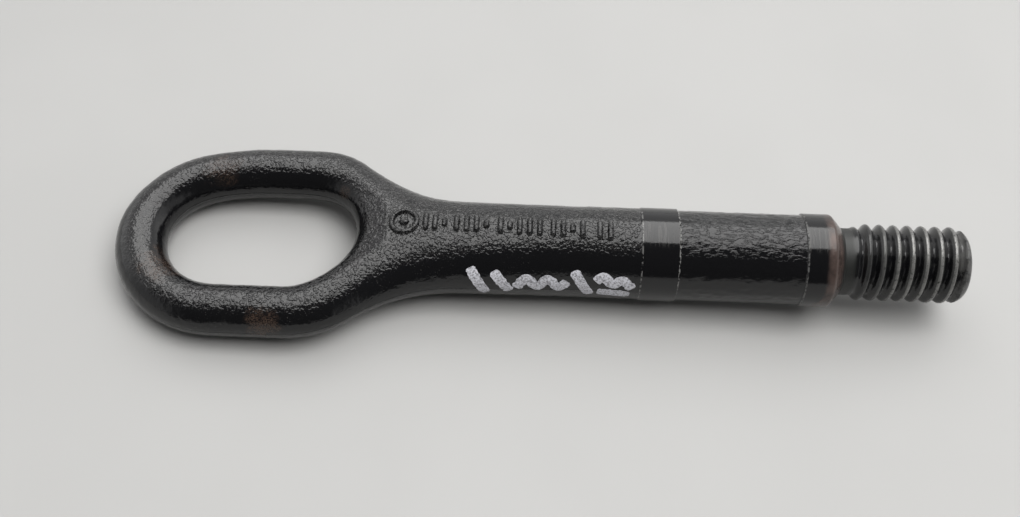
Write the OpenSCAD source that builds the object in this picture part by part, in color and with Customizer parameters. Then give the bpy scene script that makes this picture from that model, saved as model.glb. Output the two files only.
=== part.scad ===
// Screw-in tow eye: one forging with a closed eye, a flared root, a round shank,
// two turned seats, a rounded nose, a plain neck and a coarse left-hand thread.
// It lies as it comes to rest, on the far end of the eye and on the shank.

/* [Eye] */
// Diameter of the round bar that forms the eye
bar_d = 14.7; // [12:0.1:17]
// Clear width of the opening
opening_w = 33.2; // [28:0.2:38]
// Length of the straight bars beside the opening
bars_len = 19.6; // [12:0.2:28]
// Depth of the rounded end of the opening next to the shank
inner_end_len = 18.2; // [15:0.1:22]
// How far the round end sits in on its +Y side, where the eye is out of round
corner_in = 1.7; // [0:0.1:3]

/* [Flare] */
// Radius of each outer shoulder, where a bar turns in towards the shank
shoulder_r = 32; // [24:0.5:38]
// Length of the flare, from the straight bars to the forged shank
flare_len = 50; // [44:0.5:60]
// How far the end of the opening and the flare beside it sit over to the +Y side
bridge_shift = 2.2; // [0:0.1:3]
// How much wider than the round shank the forging is where the flare runs out
root_extra = 1.8; // [0:0.1:2.6]
// How much thinner than the round shank the forging is there
root_thinner = 3.5; // [2:0.1:6]

/* [Forged shank] */
// How far the forged shank lies below the seats
forged_step = 0.2; // [0.1:0.05:0.6]
// Length over which the shank still thickens after the flare
thicken_len = 34; // [26:0.5:38]
// Length of the round forged shank before the rear seat
forged_len = 15.8; // [12:0.2:24]

/* [Turned seats] */
// Diameter of the two turned seats
seat_d = 26.8; // [24:0.05:28]
// Length of the rear seat
rear_seat_len = 10.8; // [8:0.1:14]
// Length of the front seat
front_seat_len = 7.4; // [5:0.1:12]
// Length of the waist between the seats
waist_len = 35.4; // [28:0.2:44]
// How far the waist lies below the seats
waist_step = 0.5; // [0.2:0.05:1.2]
// Chamfer on the edges of the seats
seat_chamfer = 0.35; // [0.1:0.05:0.6]

/* [Nose and neck] */
// Length of the nose in front of the front seat
nose_len = 3.9; // [3:0.1:6]
// Radius that rounds the nose into the front seat
nose_r = 1.2; // [0.6:0.1:2]
// How far the plain neck stands over the bottom of the thread
neck_over = 0.35; // [0.1:0.05:0.8]
// Length of the plain neck
neck_len = 2.3; // [1.6:0.1:5]

/* [Thread] */
// Outer diameter of the thread
thread_d = 22; // [21:0.1:24]
// Depth of the thread
thread_depth = 1.75; // [1.2:0.05:2.2]
// Pitch of the thread
thread_pitch = 4; // [3:0.25:5]
// Length of the threaded end
thread_len = 33.3; // [24:0.1:44]
// How far inside the crests the face at the tip ends
tip_drop = 3.2; // [2:0.1:5]
// Length of the rounded tip
tip_len = 4.6; // [3:0.1:7]

/* [Smoothness] */
// Points across the top of the eye, from its inner to its outer edge
across_steps = 13; // [9:1:15]
// Points around each turn of the thread
turn_steps = 30; // [20:2:36]

/* [Hidden] */

bar_r = bar_d / 2;
hole_r = opening_w / 2;
eye_r = hole_r + bar_r;
outer_r = hole_r + bar_d;
seat_r = seat_d / 2;
forged_r = seat_r - forged_step;
waist_r = seat_r - waist_step;
root_hw = forged_r + root_extra / 2;
root_ht = forged_r - root_thinner / 2;
crest_r = thread_d / 2;
root_r = crest_r - thread_depth;
neck_r = root_r + neck_over;
tip_r = crest_r - tip_drop;

// stations along the shank, measured from the centre of the round end of the eye
flare_x = bars_len + flare_len;
round_x = flare_x + thicken_len;
rear_seat_x = round_x + forged_len;
waist_x = rear_seat_x + rear_seat_len;
front_seat_x = waist_x + waist_len;
nose_x = front_seat_x + front_seat_len;
neck_x = nose_x + nose_len;
thread_x = neck_x + neck_len;
tip_x = thread_x + thread_len;

// the forging runs on inside the turned stock by this much
overlap = 5;
forging_end = round_x + overlap;
// it is this much smaller there, so its skin stays inside the stock
skin_gap = 0.12;

// the two arcs of the flare meet with one slope
flare_drop = outer_r - root_hw;
flare_turn = 2 * atan(flare_drop / flare_len);
flare_r = flare_len / sin(flare_turn) - shoulder_r;
turn_x = bars_len + shoulder_r * sin(flare_turn);

// lean at rest: the far end of the eye touches the ground, and so does the shank,
// on the first of its round stretches that gets there
function lean_on(x, r) = acos(bar_r / norm([r, x + eye_r])) - atan((x + eye_r) / r);
rest_tilt = max(lean_on(round_x, forged_r), lean_on(rear_seat_x, seat_r), lean_on(front_seat_x, seat_r));
rest_lift = bar_r + eye_r * sin(rest_tilt);
low_x = -eye_r * cos(rest_tilt) - bar_r;
high_x = tip_x * cos(rest_tilt) + tip_r * sin(rest_tilt);

function clamp01(t) = min(1, max(0, t));
function ease(t) = clamp01(t) * clamp01(t) * (3 - 2 * clamp01(t));
// height of a round edge at the share t of its radius from the rim
function dome(t) = sqrt(1 - pow(1 - clamp01(t), 2));

// half width of the outline, and how it slopes
function half_w(x) =
    x <= bars_len ? outer_r
    : x <= turn_x ? outer_r - shoulder_r + sqrt(pow(shoulder_r, 2) - pow(x - bars_len, 2))
    : x <= flare_x ? root_hw + flare_r - sqrt(pow(flare_r, 2) - pow(flare_x - x, 2))
    : root_hw + (forged_r - skin_gap - root_hw) * clamp01((x - flare_x) / thicken_len);
function slope(x) =
    x <= bars_len || x >= flare_x ? 0
    : x <= turn_x ? asin((x - bars_len) / shoulder_r)
    : asin((flare_x - x) / flare_r);

// half thickness of the forging: from beside the opening it swells to a long straight
// taper, which reaches the round shank
swell_x = bars_len + 0.6 * inner_end_len;
swell_len = 0.8 * (flare_x - swell_x);
function taper_t(x) =
    root_ht + (forged_r - skin_gap - root_ht) * min(1, (x - flare_x) / thicken_len);
function half_t(x) = bar_r + (taper_t(x) - bar_r) * ease((x - swell_x) / swell_len);
// radius that rounds its outer edge: the bar's own, growing to the full half width
function edge_r(x) = bar_r + (half_w(x) - bar_r) * ease((x - swell_x) / (flare_x - swell_x));

// distances in plan from the opening and from the outline
function end_share(x, y) = norm([(x - bars_len) / inner_end_len, y / hole_r]);
function from_hole(x, y) =
    x < 0 ? norm([x, y]) - hole_r
    : x <= bars_len ? abs(y) - hole_r
    : norm([x - bars_len, y]) * (1 - 1 / end_share(x, y));
function from_outline(x, y) =
    x < 0 ? outer_r - norm([x, y])
    : (half_w(x) - abs(y)) * cos(slope(x));
function height(x, y) =
    half_t(x) * dome(from_hole(x, y) / bar_r) * dome(from_outline(x, y) / edge_r(x));

// lines over one half of the forging: each leaves the opening at a right angle and meets
// the outline at one. Up to corner_angle they run on into the shank, and in the shank they
// fan out: fan_angle is the heading at the corner of its flat end
corner_angle = 32;
fan_angle = 45;
flare_steps = 13;
side_steps = 4;
end_steps = 7;
bar_steps = 3;
round_steps = 14;
outline_x = concat(
    [for (i = [0:flare_steps]) bars_len + flare_len * i / flare_steps],
    [for (i = [1:side_steps]) flare_x + (forging_end - flare_x) * i / side_steps]);
last_outline = len(outline_x) - 1;
function unit(v) = v / norm(v);
function end_line(a, far, heading, hold) =
    let (near = [bars_len + inner_end_len * cos(a), hole_r * sin(a)],
         out = unit([cos(a) / inner_end_len, sin(a) / hole_r]))
    [near, near + bar_d / 3 * out, far - hold * [cos(heading), sin(heading)], far];
function straight_line(near, far) =
    let (third = (far - near) / 3) [near, near + third, far - third, far];
end_lines = [for (i = [0:end_steps - 1]) end_line(
    corner_angle * i / end_steps,
    [forging_end, half_w(forging_end) * sin(90 * i / end_steps)],
    fan_angle * i / end_steps, edge_r(forging_end) * 2 / 3)];
side_lines = [for (i = [0:last_outline])
    let (x = outline_x[last_outline - i])
    end_line(corner_angle + (90 - corner_angle) * i / last_outline,
        [x, half_w(x)], min(90 - slope(x), fan_angle + (90 - fan_angle) * i / side_steps),
        edge_r(x) * 2 / 3)];
bar_lines = [for (i = [1:bar_steps - 1])
    let (x = bars_len * (1 - i / bar_steps)) straight_line([x, hole_r], [x, outer_r])];
round_lines = [for (i = [0:round_steps])
    let (a = 90 + 90 * i / round_steps, d = [cos(a), sin(a)]) straight_line(hole_r * d, outer_r * d)];
half_lines = concat(end_lines, side_lines, bar_lines, round_lines);

// where the forging is uneven its points sit over to one side
bridge_end_x = bars_len + 0.85 * flare_len;
function bridge_share(x, y) =
    ease((x - bars_len) / inner_end_len) * ease((bridge_end_x - x) / (0.45 * flare_len))
    * ease((y + half_w(x)) / bar_d);
function corner_share(x, y) =
    ease((bars_len / 2 - x) / hole_r) * clamp01(y / hole_r);
function uneven(x, y) = y + bridge_shift * bridge_share(x, y) - corner_in * corner_share(x, y);

// each line is followed over the top, then back underneath
function line_point(line, v) =
    let (t = (1 - cos(180 * v / across_steps)) / 2, s = 1 - t)
    s * s * s * line[0] + 3 * s * s * t * line[1] + 3 * s * t * t * line[2] + t * t * t * line[3];
function skin_point(p, side, up) = [p[0], uneven(p[0], side * p[1]), up * height(p[0], p[1])];
function section(line, side) = concat(
    [for (v = [0:across_steps]) skin_point(line_point(line, v), side, v % across_steps == 0 ? 0 : 1)],
    [for (v = [across_steps - 1:-1:1]) skin_point(line_point(line, v), side, -1)]);

last_half = len(half_lines) - 1;
rings = concat(
    [for (i = [0:last_half]) section(half_lines[i], 1)],
    [for (i = [last_half - 1:-1:1]) section(half_lines[i], -1)]);

// joins rings of equal length; looped closes the last ring to the first
module skin(rings, looped) {
    count = len(rings);
    size = len(rings[0]);
    spans = looped ? count : count - 1;
    sides = [for (i = [0:spans - 1], j = [0:size - 1])
        let (a = i * size + j, b = i * size + (j + 1) % size,
             c = ((i + 1) % count) * size + (j + 1) % size, d = ((i + 1) % count) * size + j)
        each [[a, c, b], [a, d, c]]];
    first = [for (j = [0:size - 1]) j];
    last = [for (j = [size - 1:-1:0]) (count - 1) * size + j];
    polyhedron(points = [for (r = rings) each r], faces = concat(sides, looped ? [] : [first, last]));
}

module forging() {
    skin(rings, true);
}

// nose profile: an arc of nose_r, then a straight cone down to the neck
nose_angle = 45;
nose_steps = 4;
nose_points = [for (i = [0:nose_steps])
    let (a = 90 - nose_angle * i / nose_steps)
    [seat_r - nose_r * (1 - sin(a)), nose_x + nose_r * cos(a)]];

module turned_stock() {
    c = seat_chamfer;
    rotate([0, 90, 0])
        rotate_extrude($fn = 96)
            polygon(concat(
                [[0, round_x], [forged_r, round_x], [forged_r, rear_seat_x],
                 [seat_r, rear_seat_x + c], [seat_r, waist_x - c], [waist_r, waist_x],
                 [waist_r, front_seat_x - c], [seat_r, front_seat_x + c]],
                nose_points,
                [[neck_r, neck_x], [neck_r, thread_x], [0, thread_x]]));
}

// thread: its crest winds back towards the eye as it turns from +Y to +Z, so it is left-hand.
// crest_x is where the first whole crest passes +Y; lead_in is the run-out beside the neck
crest_x = thread_x + 5.4;
lead_in = 3.4;
crest_width = 0.8;
// the threaded stub starts inside the neck by this much
stub_len = 2;
stub_r = neck_r - skin_gap;
pitch_steps = 8;
function crest(phase) = pow(0.5 + 0.5 * cos(360 * phase), crest_width);
function tip_limit(x) =
    let (t = clamp01((x - tip_x + tip_len) / tip_len)) tip_r + (crest_r - tip_r) * sqrt(1 - t * t);
function thread_r(x, a) =
    let (full = root_r + (crest_r - root_r) * crest((x - crest_x) / thread_pitch + a / 360),
         grown = stub_r + (full - stub_r) * ease((x - thread_x) / lead_in))
    min(grown, tip_limit(x));
stub_x = thread_x - stub_len;
thread_rows = ceil((tip_x - stub_x) / thread_pitch * pitch_steps);
thread_rings = [for (i = [0:thread_rows])
    let (x = stub_x + (tip_x - stub_x) * i / thread_rows)
    [for (j = [0:turn_steps - 1])
        let (a = 360 * j / turn_steps, r = thread_r(x, a)) [x, r * cos(a), r * sin(a)]]];

module thread() {
    skin(thread_rings, false);
}

module tow_eye() {
    color([0.12, 0.12, 0.13])
        translate([-(low_x + high_x) / 2, 0, rest_lift])
            rotate([0, -rest_tilt, 0])
                union() {
                    forging();
                    turned_stock();
                    thread();
                }
}

tow_eye();
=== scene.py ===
# Tow eye: a forged eye and shank, its turned end and its left-hand thread.
import math

import bmesh
import bpy
import numpy as np
from mathutils import Matrix, Vector, noise


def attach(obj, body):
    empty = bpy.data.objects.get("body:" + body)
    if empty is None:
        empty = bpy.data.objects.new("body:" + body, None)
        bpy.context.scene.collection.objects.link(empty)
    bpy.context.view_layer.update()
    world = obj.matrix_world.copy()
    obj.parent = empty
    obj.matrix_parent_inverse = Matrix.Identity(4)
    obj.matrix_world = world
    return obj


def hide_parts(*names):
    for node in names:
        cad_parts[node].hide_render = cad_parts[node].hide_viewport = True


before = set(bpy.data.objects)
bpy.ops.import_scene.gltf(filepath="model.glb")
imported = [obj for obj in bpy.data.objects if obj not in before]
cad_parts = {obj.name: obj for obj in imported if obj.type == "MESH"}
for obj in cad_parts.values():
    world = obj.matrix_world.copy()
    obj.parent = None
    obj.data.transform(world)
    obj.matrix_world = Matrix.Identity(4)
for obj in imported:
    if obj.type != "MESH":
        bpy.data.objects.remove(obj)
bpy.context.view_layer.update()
print("frame loaded")

mm = 0.001

# how the part lies: everything is modelled along X first, in mm, and then laid down
lie = {"tilt": 2.6225, "shift": -90.680, "lift": 8.446}
layDown = (Matrix.Translation((lie["shift"] * mm, 0, lie["lift"] * mm))
           @ Matrix.Rotation(math.radians(-lie["tilt"]), 4, "Y"))


# the camera as fitted to the photograph: place in m, turn in degrees, lens and sensor in mm
view = {
    "spot": (-0.01698, -0.1890, 0.29827), "turn": (32.895, -3.188, 2.182),
    "lens": 41.89, "sensor": 36, "near": 0.01,
}


def addCamera():
    cameraData = bpy.data.cameras.new("photoCamera")
    cameraData.lens = view["lens"]
    cameraData.sensor_width = view["sensor"]
    cameraData.clip_start = view["near"]
    camera = bpy.data.objects.new("photoCamera", cameraData)
    camera.location = view["spot"]
    camera.rotation_euler = [math.radians(a) for a in view["turn"]]
    bpy.context.scene.collection.objects.link(camera)
    bpy.context.scene.camera = camera


light = {
    # lamps: (size in m, place in m, turn in degrees, power in W)
    "panel": ((1.7, 1.7), (0.0, 0.65, 1.30), (-22, 0, 0), 9),
    "shine": ((1.7, 1.7), (0.0, 0.66, 1.33), (-22, 0, 0), 20),
    "fill": ((1.1, 0.9), (0.42, -0.12, 1.30), (5, 18, 0), 20),
    "colour": (1.0, 0.995, 0.985),
    # brightness of the room, and where it changes
    "roomBack": 0.85, "roomFront": 0.06, "roomSides": 0.45, "backdrop": 0.52,
    "backEdge": (-0.25, 0.55), "sideEdge": (0.55, 0.85),
}


def addPanel(name):
    size, place, turn, power = light[name]
    lampData = bpy.data.lights.new(name, "AREA")
    lampData.shape = "RECTANGLE"
    lampData.size, lampData.size_y = size
    lampData.energy = power
    lampData.color = light["colour"]
    lamp = bpy.data.objects.new(name, lampData)
    lamp.location = place
    lamp.rotation_euler = [math.radians(a) for a in turn]
    bpy.context.scene.collection.objects.link(lamp)
    return lamp


def addLight():
    addPanel("panel")
    # a reflector just behind the panel, mirrored in the gloss alone
    addPanel("shine").visible_diffuse = False
    # the fill shortens the shadow in front and isn't mirrored in the gloss
    addPanel("fill").visible_glossy = False


class Wire:
    # a shader socket that takes Python's arithmetic
    def __init__(self, tree, socket=None):
        self.tree = tree
        self.socket = socket

    def node(self, kind, settings=None, sockets=None, out=0):
        made = self.tree.nodes.new(kind)
        for name, value in (settings or {}).items():
            setattr(made, name, value)
        for name, value in (sockets or {}).items():
            target = made.inputs[name]
            if isinstance(value, Wire):
                self.tree.links.new(value.socket, target)
            else:
                target.default_value = value
        return Wire(self.tree, made.outputs[out] if made.outputs else None)

    def math(self, operation, *values):
        return self.node("ShaderNodeMath", {"operation": operation}, dict(enumerate(values)))

    def __add__(self, other):
        return self.math("ADD", self, other)

    __radd__ = __add__

    def __sub__(self, other):
        return self.math("SUBTRACT", self, other)

    def __rsub__(self, other):
        return self.math("SUBTRACT", other, self)

    def __mul__(self, other):
        return self.math("MULTIPLY", self, other)

    __rmul__ = __mul__

    def __truediv__(self, other):
        return self.math("DIVIDE", self, other)

    def __rtruediv__(self, other):
        return self.math("DIVIDE", other, self)

    def step(self, low, high):
        # 0 below low, 1 above high, smooth between
        return self.node("ShaderNodeMapRange", {"interpolation_type": "SMOOTHSTEP"},
                         {"Value": self, "From Min": low, "From Max": high})

    def between(self, low, high, edge):
        return self.step(low - edge, low + edge) * (1 - self.step(high - edge, high + edge))

    def absolute(self):
        return self.math("ABSOLUTE", self)

    def root(self):
        return self.math("SQRT", self)

    def clamp(self):
        return self.node("ShaderNodeClamp", None, {"Value": self})

    def most(self, other):
        return self.math("MAXIMUM", self, other)

    def blend(self, first, second):
        # self is the share of the second colour
        return self.node("ShaderNodeMix", {"data_type": "RGBA"},
                         {0: self, 6: first, 7: second}, out=2)

    def speckle(self, size, detail, rough, stretch=None):
        # noise with grains of about this size in mm
        spot = self
        if stretch:
            spot = self.node("ShaderNodeMapping", None, {"Vector": self, "Scale": stretch})
        return self.node("ShaderNodeTexNoise", None, {
            "Vector": spot, "Scale": 1.0 / size, "Detail": detail, "Roughness": rough})

    def parts(self):
        # the x, y and z of a place
        split = self.node("ShaderNodeSeparateXYZ", None, {0: self}).socket.node
        return [Wire(self.tree, socket) for socket in split.outputs]


def newMaterial(name):
    material = bpy.data.materials.new(name)
    material.use_nodes = True
    material.node_tree.nodes.clear()
    return material, Wire(material.node_tree)


def inMillimetres(wire, turn=0.0, move=(0, 0, 0)):
    place = wire.node("ShaderNodeTexCoord", out=3)
    return wire.node("ShaderNodeMapping", None, {
        "Vector": place, "Scale": (1 / mm, 1 / mm, 1 / mm),
        "Rotation": (0, turn, 0), "Location": move})


def finishMaterial(wire, sockets):
    shader = wire.node("ShaderNodeBsdfPrincipled", None, sockets)
    wire.node("ShaderNodeOutputMaterial", None, {"Surface": shader})


def addRoom():
    # a plain studio: bright behind the part and at both sides, dim behind the camera
    world = bpy.data.worlds.new("studio")
    bpy.context.scene.world = world
    world.use_nodes = True
    world.node_tree.nodes.clear()
    wire = Wire(world.node_tree)
    way = wire.node("ShaderNodeTexCoord", out=0)
    across, back = way.parts()[:2]
    low, high = light["roomFront"], light["roomBack"]
    level = back.step(*light["backEdge"]) * (high - low) + low
    level = level + across.absolute().step(*light["sideEdge"]) * light["roomSides"]
    # seen directly, the room is one plain pale backdrop
    seen = wire.node("ShaderNodeLightPath", out=0)
    level = level * (1 - seen) + seen * light["backdrop"]
    glow = wire.node("ShaderNodeBackground", None, {"Color": (1, 1, 1, 1), "Strength": level})
    wire.node("ShaderNodeOutputWorld", None, {"Surface": glow})


def onlySelect(piece):
    bpy.ops.object.select_all(action="DESELECT")
    piece.select_set(True)
    bpy.context.view_layer.objects.active = piece


def applyModifiers(piece):
    onlySelect(piece)
    for modifier in list(piece.modifiers):
        bpy.ops.object.modifier_apply(modifier=modifier.name)


def newPiece(name, mesh):
    piece = bpy.data.objects.new(name, mesh)
    bpy.context.scene.collection.objects.link(piece)
    return piece


def points(piece):
    spots = np.zeros(len(piece.data.vertices) * 3)
    piece.data.vertices.foreach_get("co", spots)
    return spots.reshape(-1, 3)


def setPoints(piece, spots):
    piece.data.vertices.foreach_set("co", spots.ravel())
    piece.data.update()


def ease(t):
    t = np.clip(t, 0, 1)
    return t * t * (3 - 2 * t)


# the forged eye, flare and shank, in mm
forging = {
    "cutAt": 119.2, "plug": 2.0, "voxel": 0.63, "smoothing": 6, "softness": 0.5,
    # where the rough skin ends, and its (size of grain, height)
    "roughEnd": (117.6, 119.2), "lumps": (3.2, 0.16), "grains": (1.0, 0.13),
    "depth": 2, "midLevel": 0.61, "smoothAngle": 40,
}


def addForging():
    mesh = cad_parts["tow_eye"].data.copy()
    mesh.transform(layDown.inverted())
    mesh.materials.clear()
    piece = newPiece("forgedEye", mesh)
    onlySelect(piece)
    bpy.ops.object.mode_set(mode="EDIT")
    bpy.ops.mesh.select_all(action="SELECT")
    bpy.ops.mesh.remove_doubles(threshold=1e-6)
    bpy.ops.mesh.bisect(plane_co=(forging["cutAt"] * mm, 0, 0), plane_no=(1, 0, 0),
                        use_fill=True, clear_outer=True)
    bpy.ops.object.mode_set(mode="OBJECT")
    # the cut end runs on a little, inside the rear seat
    endFace = (forging["cutAt"] - 0.01) * mm
    for polygon in mesh.polygons:
        polygon.select = polygon.normal.x > 0.99 and polygon.center.x > endFace
    bpy.ops.object.mode_set(mode="EDIT")
    bpy.ops.mesh.select_mode(type="FACE")
    bpy.ops.mesh.extrude_region_move(TRANSFORM_OT_translate={"value": (forging["plug"] * mm, 0, 0)})
    bpy.ops.object.mode_set(mode="OBJECT")
    remesh = piece.modifiers.new("evenSkin", "REMESH")
    remesh.mode = "VOXEL"
    remesh.voxel_size = forging["voxel"] * mm
    smooth = piece.modifiers.new("softSkin", "SMOOTH")
    smooth.factor = forging["softness"]
    smooth.iterations = forging["smoothing"]
    applyModifiers(piece)
    print("forging remeshed:", len(piece.data.polygons), "faces")
    return piece


def roughenForging(piece):
    group = piece.vertex_groups.new(name="rough")
    spots = points(piece) / mm
    low, high = forging["roughEnd"]
    share = 1 - ease((spots[:, 0] - low) / (high - low))
    for index, weight in enumerate(share):
        group.add([index], float(weight), "REPLACE")
    for name in ("lumps", "grains"):
        size, height = forging[name]
        texture = bpy.data.textures.new(name, "CLOUDS")
        texture.noise_scale = size * mm
        texture.noise_depth = forging["depth"]
        bump = piece.modifiers.new(name, "DISPLACE")
        bump.texture = texture
        bump.texture_coords = "LOCAL"
        bump.strength = height * mm
        bump.mid_level = forging["midLevel"]
        bump.vertex_group = "rough"
    applyModifiers(piece)
    piece.vertex_groups.clear()
    print("forging roughened")


# plain raised marks on top of the shank: a ring with a dot, then groups of plain ribs, in mm
marks = {
    "height": 0.90, "round": 0.62, "slope": -0.048, "level": 4.05, "above": 4,
    "reach": (46.5, 114.5, 4.6), "cuts": 2, "smoothness": 0.6,
    "ring": (52.4, 3.65, 1.5), "dot": 1.3,
    # each rib: (place along the shank, length across it, width)
    "ribs": [
        (58.6, 5.8, 1.5), (61.3, 5.8, 1.5), (63.9, 3.0, 1.5),
        (67.4, 5.8, 1.5), (70.2, 5.8, 1.5), (73.0, 5.8, 1.5), (75.8, 3.0, 1.5),
        (79.8, 5.8, 1.5), (82.4, 3.0, 1.5), (85.2, 5.8, 1.5), (88.0, 5.8, 1.5), (90.8, 5.8, 1.5),
        (94.6, 5.8, 1.5), (97.4, 5.8, 1.5), (100.0, 3.0, 1.5), (102.8, 5.8, 1.5),
        (107.6, 5.8, 1.5), (110.6, 5.8, 1.5),
    ],
}


def raiseMarks(piece):
    # a finer mesh where the marks are
    low, high, half = marks["reach"]
    for polygon in piece.data.polygons:
        x, y, z = polygon.center / mm
        y -= marks["level"] + marks["slope"] * x
        polygon.select = low < x < high and abs(y) < half and z > marks["above"]
    onlySelect(piece)
    bpy.ops.object.mode_set(mode="EDIT")
    bpy.ops.mesh.select_mode(type="FACE")
    bpy.ops.mesh.subdivide(number_cuts=marks["cuts"], smoothness=marks["smoothness"])
    bpy.ops.object.mode_set(mode="OBJECT")
    spots = points(piece) / mm
    x = spots[:, 0]
    side = spots[:, 1] - marks["level"] - marks["slope"] * x
    ringX, ringR, ringWidth = marks["ring"]
    fromCentre = np.hypot(x - ringX, side)
    # distance to the nearest edge of a mark, less than zero inside it
    reach = np.minimum(np.abs(fromCentre - ringR) - ringWidth / 2, fromCentre - marks["dot"])
    for ribX, length, width in marks["ribs"]:
        over = np.maximum(np.abs(side) - (length - width) / 2, 0)
        reach = np.minimum(reach, np.hypot(x - ribX, over) - width / 2)
    inside = np.clip(-reach / marks["round"], 0, 1)
    rise = marks["height"] * np.sqrt(1 - (1 - inside) ** 2)
    spots[:, 2] += np.where(spots[:, 2] > marks["above"], rise, 0)
    setPoints(piece, spots * mm)
    print("marks raised:", len(marks["ribs"]) + 1)


# the turned seats, waist, nose and neck, in mm along the shank
turned = {
    "steps": 144, "row": 0.57, "rearSeat": (119.4, 130.2), "frontSeat": (165.6, 173.0),
    "seatR": 13.4, "chamfer": 0.35, "frontShare": 0.6, "startR": 13.25, "waistR": 12.9,
    "noseR": 1.2, "noseTurn": 45, "noseRows": 5, "noseEnd": 176.9, "coneRows": 7,
    "neckR": 9.6, "neckGaps": (0.4, 0.3), "neckRow": 0.5, "endRings": (0, 4, 8, 11),
    # waves of the waist: their height, where they fade out at each end and over how much,
    # then (scale along the shank, scale round it, offset)
    "wave": 0.20, "waveEnds": (0.3, 1.6), "waveFade": 1.2,
    "waves": [(0.30, 0.62, 0), (0.62, 1.1, 9)],
}
# the left-hand thread, in mm; its crest width is an exponent, smaller for broader crests
thread = {
    "start": 179.2, "end": 212.49, "row": 0.3, "crestR": 11.0, "rootR": 9.25, "pitch": 4.0,
    "firstCrest": 184.6, "leadIn": 3.4, "crestWidth": 0.8,
    "tipR": 7.8, "tipLength": 4.6, "tipRings": (6.5, 4, 2, 0),
}


def turnedProfile():
    # (place along the shank, radius), from the middle of the rear face to the middle of the tip
    rearLow, rearHigh = turned["rearSeat"]
    frontLow, frontHigh = turned["frontSeat"]
    c, seat, waist = turned["chamfer"], turned["seatR"], turned["waistR"]
    rows = [(rearLow, r) for r in (*turned["endRings"], turned["startR"])]

    def run(low, high, radius, row):
        count = max(2, round((high - low) / row))
        return [(low + (high - low) * i / count, radius) for i in range(count + 1)]

    rows += run(rearLow + c, rearHigh - c, seat, turned["row"])
    rows += run(rearHigh, frontLow - c, waist, turned["row"])
    rows += run(frontLow + c * turned["frontShare"], frontHigh, seat, turned["row"])
    # the nose: a rounding, then a cone down to the neck
    for i in range(1, turned["noseRows"] + 1):
        a = math.radians(turned["noseTurn"] * i / turned["noseRows"])
        rows.append((frontHigh + turned["noseR"] * math.sin(a),
                     seat - turned["noseR"] * (1 - math.cos(a))))
    lastX, lastR = rows[-1]
    for i in range(1, turned["coneRows"] + 1):
        t = i / turned["coneRows"]
        rows.append((lastX + (turned["noseEnd"] - lastX) * t,
                     lastR + (turned["neckR"] - lastR) * t))
    before, after = turned["neckGaps"]
    rows += run(turned["noseEnd"] + before, thread["start"] - after,
                turned["neckR"], turned["neckRow"])
    rows += run(thread["start"], thread["end"], turned["neckR"], thread["row"])
    rows += [(thread["end"], r) for r in thread["tipRings"]]
    return rows


def threadRadius(x, angle):
    phase = (x - thread["firstCrest"]) / thread["pitch"] + angle / (2 * math.pi)
    ridge = (0.5 + 0.5 * np.cos(2 * math.pi * phase)) ** thread["crestWidth"]
    full = thread["rootR"] + (thread["crestR"] - thread["rootR"]) * ridge
    grownIn = ease((x - thread["start"]) / thread["leadIn"])
    grown = turned["neckR"] + (full - turned["neckR"]) * grownIn
    t = np.clip((x - thread["end"] + thread["tipLength"]) / thread["tipLength"], 0, 1)
    limit = thread["tipR"] + (thread["crestR"] - thread["tipR"]) * np.sqrt(1 - t * t)
    return np.minimum(grown, limit)


def addTurnedEnd():
    rows = turnedProfile()
    mesh = bpy.data.meshes.new("turnedEnd")
    mesh.from_pydata([(x * mm, 0, r * mm) for x, r in rows],
                     [(i, i + 1) for i in range(len(rows) - 1)], [])
    piece = newPiece("turnedEnd", mesh)
    onlySelect(piece)
    bpy.ops.object.mode_set(mode="EDIT")
    bpy.ops.mesh.select_all(action="SELECT")
    bpy.ops.mesh.spin(steps=turned["steps"], angle=2 * math.pi, center=(0, 0, 0), axis=(1, 0, 0))
    bpy.ops.mesh.select_all(action="SELECT")
    bpy.ops.mesh.remove_doubles(threshold=1e-6)
    bpy.ops.mesh.normals_make_consistent(inside=False)
    bpy.ops.object.mode_set(mode="OBJECT")
    spots = points(piece) / mm
    radius = np.hypot(spots[:, 1], spots[:, 2])
    angle = np.arctan2(spots[:, 2], spots[:, 1])
    wound = threadRadius(spots[:, 0], angle)
    # the rings of the face at the tip stay where they are
    onThread = (spots[:, 0] >= thread["start"] - 1e-4) & (radius > turned["neckR"] - 0.01)
    scale = np.where(onThread, wound / np.maximum(radius, 1e-6), 1.0)
    spots[:, 1] *= scale
    spots[:, 2] *= scale
    # the waist keeps some of the forging's waves, drawn out along the shank
    frontLow, rearHigh = turned["frontSeat"][0], turned["rearSeat"][1]
    (rearEnd, frontEnd), fade = turned["waveEnds"], turned["waveFade"]
    onWaist = ease((spots[:, 0] - rearHigh - rearEnd) / fade)
    onWaist *= 1 - ease((spots[:, 0] - frontLow + frontEnd) / fade)
    for index in np.nonzero(onWaist > 0.01)[0]:
        x, y, z = spots[index]
        wave = sum(0.5 * noise.noise(Vector((x * along + offset, y * around, z * around)))
                   for along, around, offset in turned["waves"])
        spots[index, 1:] *= 1 + turned["wave"] * wave * onWaist[index] / turned["waistR"]
    setPoints(piece, spots * mm)
    print("turned end:", len(mesh.polygons), "faces")
    return piece


def joinTurnedEnd(piece, end):
    union = piece.modifiers.new("oneForging", "BOOLEAN")
    union.operation = "UNION"
    union.solver = "EXACT"
    union.object = end
    applyModifiers(piece)
    bpy.data.objects.remove(end)
    print("joined:", len(piece.data.polygons), "faces")


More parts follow.
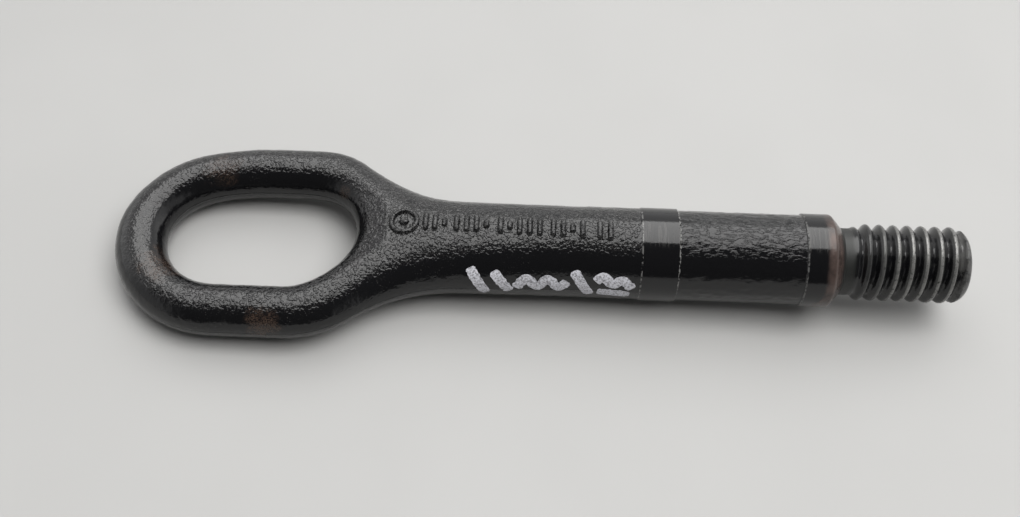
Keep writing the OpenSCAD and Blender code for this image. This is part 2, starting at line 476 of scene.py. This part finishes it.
# pale paint-pen strokes on the near side of the shank, in mm
pen = {
    "width": 3.0, "thick": 0.07, "lift": 0.03, "sample": 0.45, "columns": 6, "rounding": 3,
    "shankR": 13.2, "castFrom": 20, "endWidth": 0.55, "endLength": 1.3,
    "waver": 0.22, "waverStep": 0.35, "waverApart": 7.0,
    "white": (0.66, 0.66, 0.71, 1), "under": (0.07, 0.07, 0.075, 1), "rough": 0.55,
    "grain": (0.55, 3.0, 0.6), "gapShare": 0.40, "thinShare": 0.32, "bump": 0.1,
    # plain slashes and waves: (place along the shank, degrees round it from +Y over the top)
    "strokes": [
        [(71.6, 148), (76.4, 187)],
        [(78.2, 152), (83.0, 182)],
        [(84.6, 176), (87.6, 156), (90.6, 178), (93.6, 156), (96.6, 178), (99.0, 164)],
        [(100.8, 148), (105.6, 187)],
        [(107.0, 162), (109.4, 152), (111.8, 170), (114.2, 156), (117.4, 172)],
        [(107.6, 180), (116.8, 185)],
    ],
}


def strokePath(stops):
    # a rounded line through the stops, one point every sample
    path = [Vector((x, math.radians(a) * pen["shankR"])) for x, a in stops]
    for _ in range(pen["rounding"]):
        cut = [path[0]]
        for a, b in zip(path, path[1:]):
            cut += [a.lerp(b, 0.25), a.lerp(b, 0.75)]
        cut.append(path[-1])
        path = cut
    even = [path[0]]
    for a, b in zip(path, path[1:]):
        count = max(1, math.ceil((b - a).length / pen["sample"]))
        even += [a.lerp(b, i / count) for i in range(1, count + 1)]
    return even


def addPenStrokes(body):
    mesh = bpy.data.meshes.new("penStrokes")
    built = bmesh.new()
    for number, stops in enumerate(pen["strokes"]):
        path = strokePath(stops)
        rows = []
        for i, spot in enumerate(path):
            ahead = path[min(i + 1, len(path) - 1)] - path[max(i - 1, 0)]
            across = Vector((-ahead.y, ahead.x)).normalized()
            fromEnd = min(i, len(path) - 1 - i) * pen["sample"]
            full = min(1, fromEnd / pen["endLength"])
            width = pen["width"] * (pen["endWidth"] + (1 - pen["endWidth"]) * full)
            spotInNoise = Vector((i * pen["waverStep"], number * pen["waverApart"], 0))
            width *= 1 + pen["waver"] * noise.noise(spotInNoise)
            row = []
            for k in range(pen["columns"] + 1):
                share = k / pen["columns"] - 0.5
                u = spot + across * width * share
                angle = u.y / pen["shankR"]
                out = Vector((0, math.cos(angle), math.sin(angle)))
                axis = Vector((u.x * mm, 0, 0))
                hit, where = body.ray_cast(axis + out * pen["castFrom"] * mm, -out)[:2]
                base = where if hit else axis + out * pen["shankR"] * mm
                row.append(built.verts.new(base + out * (pen["thick"] + pen["lift"]) * mm))
            rows.append(row)
        for a, b in zip(rows, rows[1:]):
            for k in range(pen["columns"]):
                built.faces.new((a[k], a[k + 1], b[k + 1], b[k]))
    bmesh.ops.recalc_face_normals(built, faces=built.faces)
    built.to_mesh(mesh)
    built.free()
    piece = newPiece("penStrokes", mesh)
    outward = sum(p.normal.dot(Vector((0, p.center.y, p.center.z)).normalized())
                  for p in mesh.polygons)
    if outward < 0:
        mesh.flip_normals()
    wall = piece.modifiers.new("paintThickness", "SOLIDIFY")
    wall.thickness = pen["thick"] * mm
    wall.offset = -1
    applyModifiers(piece)
    print("pen strokes:", len(piece.data.polygons), "faces")
    return piece


# the black paint and its wear; places are mm along the shank, amounts are shares from 0 to 1
paint = {
    "black": (0.0042, 0.0042, 0.0048, 1), "rust": (0.050, 0.032, 0.023, 1),
    "worn": (0.080, 0.057, 0.050, 1), "steel": (0.19, 0.188, 0.182, 1),
    # bare steel; on the rear seat's front edge it also carries a painted highlight
    "bareAndSheen": (0.40, 0.395, 0.385, 1), "olive": (0.021, 0.022, 0.020, 1),
    # the dust colour also carries painted sheen and painted highlight on the tops
    "dustAndSheen": (0.20, 0.19, 0.18, 1),
    # noise: (size of grain in mm, detail, roughness, stretch)
    "coarse": (1.0, 3.0, 0.62), "fine": (0.36, 2.0, 0.5), "broad": (9.0, 3.0, 0.55),
    "patchy": (3.2, 4.0, 0.65), "grit": (0.95, 1.5, 0.5),
    "drawnOut": (1.0, 3.0, 0.6, (0.45, 1.0, 1.0)), "lathe": (0.50, 1.0, 0.5, (1.0, 0.06, 0.06)),
    # half thickness of the eye, and what the shank has more of it
    "thickness": (7.35, 5.6), "thickens": (30.0, 100.0),
    # rust patches: (x, y, z, reach, strength)
    "patches": [(16.0, -30.0, 3.5, 5.5, 1.0), (-3.0, 20.6, 7.0, 6.5, 0.55),
                (-14.5, -13.0, 6.0, 7.5, 0.75), (33.5, 14.7, 4.3, 2.2, 0.5)],
    # chipped edges of the seats, partly painted highlight: the rear seat's front edge gets more
    # bare steel on top, where the light falls: (from, to, strength below, strength above)
    "edges": [(119.40, 119.80, 0.35, 0.35), (129.85, 130.25, 0.35, 1.0),
              (165.50, 165.85, 0.3, 0.3)],
    "noseStart": 171.4, "noseLean": 2.8, "lastTurns": (184.0, 194.0), "tip": (207.0, 210.0),
    # share of dust and painted sheen in the colour, on the forging and, as dust and painted
    # highlight, in the turned lines
    "dustAndSheenShare": 0.35, "lineDustAndHighlight": 0.10,
    # bump heights in mm
    "coarseBump": 0.07, "gritBump": 0.16, "seamBump": 0.10, "drawnOutBump": 0.09, "dentBump": 0.11,
    "latheBump": 0.04, "seatBump": 0.02, "threadBump": 0.04, "noseBump": 0.06,
    # roughness of the clean paint, and what each kind of wear adds
    "gloss": 0.11, "roughFilm": 0.14, "roughCrests": 0.10, "roughNeck": 0.30, "roughBroad": 0.08,
    "roughRust": 0.28, "roughNose": 0.14,
}


def rustPatches(x, y, z, patchy):
    rust = None
    for patchX, patchY, patchZ, reach, strength in paint["patches"]:
        dx, dy, dz = x - patchX, y - patchY, z - patchZ
        away = (dx * dx + dy * dy + dz * dz) / (reach * reach)
        patch = strength * (1 - (away + 3.2 * (patchy - 0.5)).step(-0.1, 1.0))
        rust = patch if rust is None else rust.most(patch)
    return rust


def blackPaint():
    material, wire = newMaterial("forgedBlackPaint")
    tilt = math.radians(lie["tilt"])
    # back to mm along the shank: turned by the lean, then moved
    shiftX = -(lie["shift"] * math.cos(tilt) + lie["lift"] * math.sin(tilt))
    shiftZ = -(-lie["shift"] * math.sin(tilt) + lie["lift"] * math.cos(tilt))
    spot = inMillimetres(wire, tilt, (shiftX, 0, shiftZ))
    x, y, z = spot.parts()
    radius = (y * y + z * z).root()

    rearLow, rearHigh = turned["rearSeat"]
    frontLow, frontHigh = turned["frontSeat"]
    noseEnd, threadStart = turned["noseEnd"], thread["start"]
    forgedPart = 1 - x.step(rearLow - 0.5, rearLow + 0.1)
    seats = x.between(rearLow, rearHigh, 0.1).most(x.between(frontLow, frontHigh - 1.0, 0.2))
    waistPart = x.between(rearHigh, frontLow, 0.2)
    neckPart = x.step(noseEnd - 1.3, noseEnd - 0.3)
    threadPart = x.step(threadStart - 0.6, threadStart + 1.4)
    lastTurns = x.step(*paint["lastTurns"])
    # height as a share of the part's own half thickness
    eyeHalf, shankMore = paint["thickness"]
    level = z / (eyeHalf + shankMore * x.step(*paint["thickens"]))
    coarse, fine, broad, patchy, grit, drawnOut, lathe = (
        spot.speckle(*paint[name])
        for name in ("coarse", "fine", "broad", "patchy", "grit", "drawnOut", "lathe"))

    # brown on the nose and in patches
    noseStart = paint["noseStart"] - paint["noseLean"] * (1 - z.step(-6.0, 3.0))
    nose = (x - noseStart).step(-0.8, 0.8) * (1 - x.step(noseEnd - 1.9, noseEnd - 0.3))
    nose = nose * (2.4 * patchy - 0.45).clamp()
    rust = rustPatches(x, y, z, patchy) * fine.step(0.40, 0.56)

    # bare steel on the crests, the tip and the seats' edges; on the rear seat's front edge it is
    # stronger on top, a painted highlight
    crests = radius.step(10.72, 10.96) * threadPart * (0.1 + 0.9 * lastTurns)
    crests = crests * coarse.step(0.26, 0.50)
    crests = crests.most(0.35 * x.step(*paint["tip"]) * patchy.step(0.36, 0.56))
    edges = None
    for low, high, below, above in paint["edges"]:
        edge = x.between(low, high, 0.08) * (below + (above - below) * level.step(0.20, 0.45))
        edges = edge if edges is None else edges.most(edge)
    edgeWearAndSheen = edges * coarse.step(0.46, 0.54)

    # an oily film on the neck and the thread
    neck = neckPart * (1 - threadPart)
    crown = radius.step(10.1, 10.7) * threadPart * (0.15 + 0.85 * lastTurns)
    crown = crown * patchy.step(0.36, 0.56)
    film = (crown + threadPart * patchy.step(0.56, 0.70) * 0.7).clamp().most(0.55 * neck)

    # dust on top of the forging, with painted sheen: more on the eye and flare, lighter where light
    # reflects from their top; and dust in the fine turned lines of the seats
    dustAndSheen = fine.step(0.66, 0.74) * broad.step(0.50, 0.62) * (1 - x.step(70.0, 100.0))
    dustAndSheen = dustAndSheen.most(0.45 * fine.step(0.54, 0.66) * level.step(0.80, 0.98)) * forgedPart
    # the turned lines take dust colour only on the top near side, where the highlight falls: dust
    # and a painted highlight
    topHighlightBand = level.step(0.92, 0.98) * (1 - y.step(0.0, 3.5))
    groovesAndHighlight = seats * lathe.step(0.50, 0.64) * topHighlightBand

    colour = rust.blend(paint["black"], paint["rust"])
    colour = nose.blend(colour, paint["worn"])
    colour = film.blend(colour, paint["olive"])
    colour = crests.blend(colour, paint["steel"])
    # bare steel on the seats' edges, stronger on top of the rear seat's front edge as a painted
    # highlight
    colour = edgeWearAndSheen.clamp().blend(colour, paint["bareAndSheen"])
    # dust colour, partly painted sheen on the top of the eye and flare
    colour = (dustAndSheen * paint["dustAndSheenShare"]).clamp().blend(colour, paint["dustAndSheen"])
    # dust in the turned lines plus painted highlight on the top near side
    colour = (groovesAndHighlight * paint["lineDustAndHighlight"]).clamp().blend(colour, paint["dustAndSheen"])

    rough = paint["gloss"] + paint["roughFilm"] * film + paint["roughCrests"] * crests
    rough = rough + paint["roughNeck"] * neck + paint["roughBroad"] * (broad - 0.5)
    rough = rough + paint["roughRust"] * rust + paint["roughNose"] * nose
    metal = (0.55 * crests + 0.25 * nose + 0.6 * edgeWearAndSheen).clamp()

    # rougher on top than on the flanks, where the paint ran smooth
    upper = 0.12 + 0.88 * level.step(0.72, 0.97)
    seam = 1 - (z + 0.5 * (coarse - 0.5)).absolute().step(0.08, 0.34)
    skin = paint["coarseBump"] * coarse + paint["gritBump"] * upper * grit.step(0.42, 0.64)
    skin = skin + paint["seamBump"] * seam
    height = forgedPart * skin * (0.35 + 0.65 * x.step(-26.0, 2.0))
    dents = paint["drawnOutBump"] * drawnOut + paint["dentBump"] * drawnOut.step(0.44, 0.62)
    height = height + waistPart * upper * dents
    height = height + seats * (paint["latheBump"] * lathe * topHighlightBand + paint["seatBump"] * coarse)
    height = height + threadPart * paint["threadBump"] * coarse + nose * paint["noseBump"] * patchy
    bump = wire.node("ShaderNodeBump", None, {"Height": height, "Distance": mm, "Strength": 1.0})
    finishMaterial(wire, {"Base Color": colour, "Roughness": rough.clamp(), "Metallic": metal,
                          "Normal": bump, "IOR": 1.5})
    return material


def penPaint():
    material, wire = newMaterial("penWhite")
    grain = inMillimetres(wire).speckle(*pen["grain"])
    gaps = 1 - grain.step(0.38, 0.50)
    thin = 1 - grain.step(0.42, 0.64)
    under = (pen["gapShare"] * gaps + pen["thinShare"] * thin).clamp()
    colour = under.blend(pen["white"], pen["under"])
    bump = wire.node("ShaderNodeBump", None,
                     {"Height": grain, "Distance": pen["bump"] * mm, "Strength": 0.6})
    finishMaterial(wire, {"Base Color": colour, "Roughness": pen["rough"], "Normal": bump})
    return material


table = {
    "size": 3.0, "colour": (0.393, 0.391, 0.385, 1), "cloud": (0.385, 0.383, 0.377, 1),
    "cloudNoise": (60.0, 2.0, 0.5), "rough": 0.6, "ior": 1.4,
}


def addTable():
    bpy.ops.object.select_all(action="DESELECT")
    bpy.ops.mesh.primitive_plane_add(size=table["size"], location=(0, 0, 0))
    floor = bpy.context.active_object
    floor.name = "tableTop"
    material, wire = newMaterial("paleTable")
    clouds = inMillimetres(wire).speckle(*table["cloudNoise"]).step(0.35, 0.65)
    colour = clouds.blend(table["colour"], table["cloud"])
    finishMaterial(wire, {"Base Color": colour, "Roughness": table["rough"], "IOR": table["ior"]})
    floor.data.materials.append(material)


addCamera()
addLight()
addRoom()
addTable()
print("camera, light and table in place")

towEye = addForging()
roughenForging(towEye)
raiseMarks(towEye)
turnedEnd = addTurnedEnd()
joinTurnedEnd(towEye, turnedEnd)
strokes = addPenStrokes(towEye)

for piece, material in ((towEye, blackPaint()), (strokes, penPaint())):
    piece.data.transform(layDown)
    piece.data.materials.clear()
    piece.data.materials.append(material)
    onlySelect(piece)
    bpy.ops.object.shade_smooth_by_angle(angle=math.radians(forging["smoothAngle"]))
    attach(piece, "root")
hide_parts("tow_eye")
print("materials done")

bpy.context.scene.view_settings.view_transform = "Standard"
